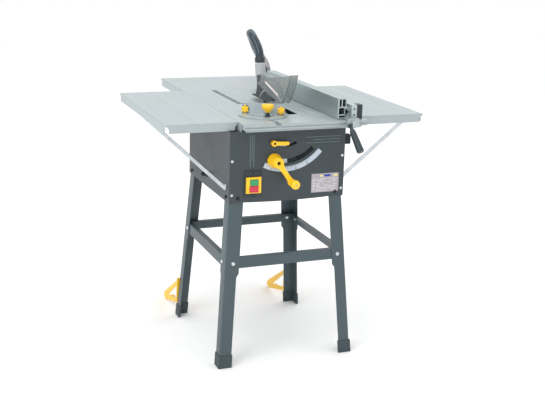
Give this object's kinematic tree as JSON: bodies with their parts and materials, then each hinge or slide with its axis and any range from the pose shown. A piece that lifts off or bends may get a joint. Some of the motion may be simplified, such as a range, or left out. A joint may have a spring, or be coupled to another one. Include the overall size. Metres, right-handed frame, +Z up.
{
  "type": "table saw",
  "caption": "Small table saw on a splayed steel stand, with extension tables, rip fence, mitre gauge, tilting blade unit, hooded guard and extraction hose.",
  "frame": {"origin": "middle of the bounding box, on the floor", "axes": "+Z up, +Y from the operator's side to the rear extension along the cut, +X to the operator's right"},
  "size_m": [0.937, 1.129, 1.1019],
  "materials": {
    "table_metal": "satin silver-grey coat on sheet steel",
    "housing_paint": "fine textured anthracite powder coat",
    "stand_paint": "fine textured grey powder coat",
    "yellow_paint": "satin yellow paint on sheet steel",
    "zinc": "bright zinc plate",
    "black_steel": "black coat",
    "rubber": "matt moulded rubber",
    "yellow_plastic": "moulded, semi-gloss",
    "black_plastic": "moulded, fine grain",
    "green_plastic": "moulded, semi-gloss",
    "red_plastic": "moulded, semi-gloss",
    "scale_plate": "printed sheet",
    "aluminium": "anodised extrusion",
    "cast_metal": "die-cast, satin",
    "motor_metal": "ribbed can, dark coat",
    "blade_steel": "ground and polished",
    "smoked_plastic": "clear smoke-grey moulding",
    "hose_rubber": "glossy ribbed hose"
  },
  "bodies": {
    "frame": {"main_table": "table_metal", "table_insert": "cast_metal", "left_extension": "table_metal", "right_extension": "table_metal", "rear_extension": "table_metal", "left_strut": "zinc", "right_strut": "zinc", "rear_left_strut": "zinc", "rear_right_strut": "zinc", "fence_rail": "table_metal", "front_panel": "housing_paint", "rear_panel": "housing_paint", "left_panel": "housing_paint", "right_panel": "housing_paint", "cord_gland": "black_plastic", "side_bracket": "black_steel", "dust_port": "black_plastic", "front_left_leg": "stand_paint", "front_right_leg": "stand_paint", "rear_left_leg": "stand_paint", "rear_right_leg": "stand_paint", "front_left_foot": "rubber", "front_right_foot": "rubber", "rear_left_foot": "rubber", "rear_right_foot": "rubber", "front_brace": "stand_paint", "rear_brace": "stand_paint", "left_brace": "stand_paint", "right_brace": "stand_paint", "left_stabiliser": "yellow_paint", "right_stabiliser": "yellow_paint", "switch_plate": "black_plastic", "switch_frame": "yellow_plastic", "tilt_scale": "scale_plate", "hose": "hose_rubber"},
    "tilt_unit": {"tilt_trunnion": "cast_metal", "riving_knife": "blade_steel", "guard_bracket": "black_plastic"},
    "lift_carriage": {"motor_housing": "motor_metal", "arbor_housing": "cast_metal"},
    "blade": {"saw_blade": "blade_steel", "arbor_and_flanges": "zinc"},
    "crank": {"crank_handle": "yellow_plastic"},
    "crank_grip": {"crank_knob": "yellow_plastic"},
    "screw": {"height_screw": "zinc"},
    "tilt_lock": {"lock_lever": "yellow_plastic"},
    "guard": {"guard_cover": "smoked_plastic", "guard_flap": "smoked_plastic"},
    "fence": {"fence_profile": "aluminium", "fence_clamp": "cast_metal"},
    "fence_lever": {"clamp_lever": "black_plastic"},
    "gauge_bar": {"mitre_bar": "zinc"},
    "gauge_head": {"mitre_head": "cast_metal", "mitre_fence": "aluminium"},
    "left_star": {"left_star_knob": "yellow_plastic"},
    "right_star": {"right_star_knob": "yellow_plastic"},
    "gauge_lock": {"mitre_lock_knob": "yellow_plastic"},
    "start": {"start_button": "green_plastic"},
    "stop": {"stop_button": "red_plastic"}
  },
  "joints": [
    {"name": "tilt", "type": "hinge", "parent": "frame", "child": "tilt_unit", "pos_m": [-0.05745, -0.19055, 0.85], "axis": [0, -1, 0], "range_deg": [0, 45], "deforming": ["hose"]},
    {"name": "crank_turn", "type": "hinge", "parent": "tilt_unit", "child": "crank", "pos_m": [-0.09791, -0.42155, 0.71598], "axis": [0, 1, 0], "range_deg": [-3601, 3601]},
    {"name": "screw_turn", "type": "hinge", "parent": "tilt_unit", "child": "screw", "pos_m": [-0.09791, -0.29055, 0.667], "axis": [0, 0, 1], "range_deg": [-3601, 3601]},
    {"name": "lift", "type": "slide", "parent": "tilt_unit", "child": "lift_carriage", "axis": [0, 0, -1], "range_m": [-0.04, 0.04]},
    {"name": "blade_spin", "type": "hinge", "parent": "lift_carriage", "child": "blade", "pos_m": [-0.00395, -0.19055, 0.763], "axis": [1, 0, 0], "continuous": true},
    {"name": "crank_grip_spin", "type": "hinge", "parent": "crank", "child": "crank_grip", "pos_m": [-0.04891, -0.46805, 0.64698], "axis": [0, 1, 0], "continuous": true},
    {"name": "tilt_lock_turn", "type": "hinge", "parent": "tilt_unit", "child": "tilt_lock", "pos_m": [-0.10216, -0.41955, 0.77618], "axis": [0, 1, 0], "range_deg": [-40, 0]},
    {"name": "guard_lift", "type": "hinge", "parent": "tilt_unit", "child": "guard", "pos_m": [-0.00395, -0.04055, 0.928], "axis": [-1, 0, 0], "range_deg": [0, 30]},
    {"name": "fence_slide", "type": "slide", "parent": "frame", "child": "fence", "axis": [1, 0, 0], "range_m": [-0.105, 0.03]},
    {"name": "fence_lever_turn", "type": "hinge", "parent": "fence", "child": "fence_lever", "pos_m": [0.15115, -0.48955, 0.836], "axis": [-1, 0, 0], "range_deg": [0, 60]},
    {"name": "gauge_slide", "type": "slide", "parent": "frame", "child": "gauge_bar", "axis": [0, 1, 0], "range_m": [-0.1, 0.3]},
    {"name": "gauge_turn", "type": "hinge", "parent": "gauge_bar", "child": "gauge_head", "pos_m": [-0.10295, -0.31555, 0.85], "axis": [0, 0, 1], "range_deg": [-31, 89]},
    {"name": "gauge_lock_turn", "type": "hinge", "parent": "gauge_bar", "child": "gauge_lock", "pos_m": [-0.10295, -0.36055, 0.8552], "axis": [0, 0, 1], "range_deg": [0, 360]},
    {"name": "left_star_turn", "type": "hinge", "parent": "gauge_head", "child": "left_star", "pos_m": [-0.15718, -0.28549, 0.869], "axis": [-0.4848, -0.8746, 0], "range_deg": [0, 360]},
    {"name": "right_star_turn", "type": "hinge", "parent": "gauge_head", "child": "right_star", "pos_m": [-0.04872, -0.34561, 0.869], "axis": [-0.4848, -0.8746, 0], "range_deg": [0, 360]},
    {"name": "start_press", "type": "slide", "parent": "frame", "child": "start", "axis": [0, 1, 0], "range_m": [0, 0.003], "stiffness_N_per_m": 400},
    {"name": "stop_press", "type": "slide", "parent": "frame", "child": "stop", "axis": [0, 1, 0], "range_m": [0, 0.003], "stiffness_N_per_m": 400}
  ],
  "couplings": [
    {"joint": "crank_turn", "follows": "lift", "rad_per_m": 1570.8},
    {"joint": "screw_turn", "follows": "lift", "rad_per_m": 1570.8}
  ]
}
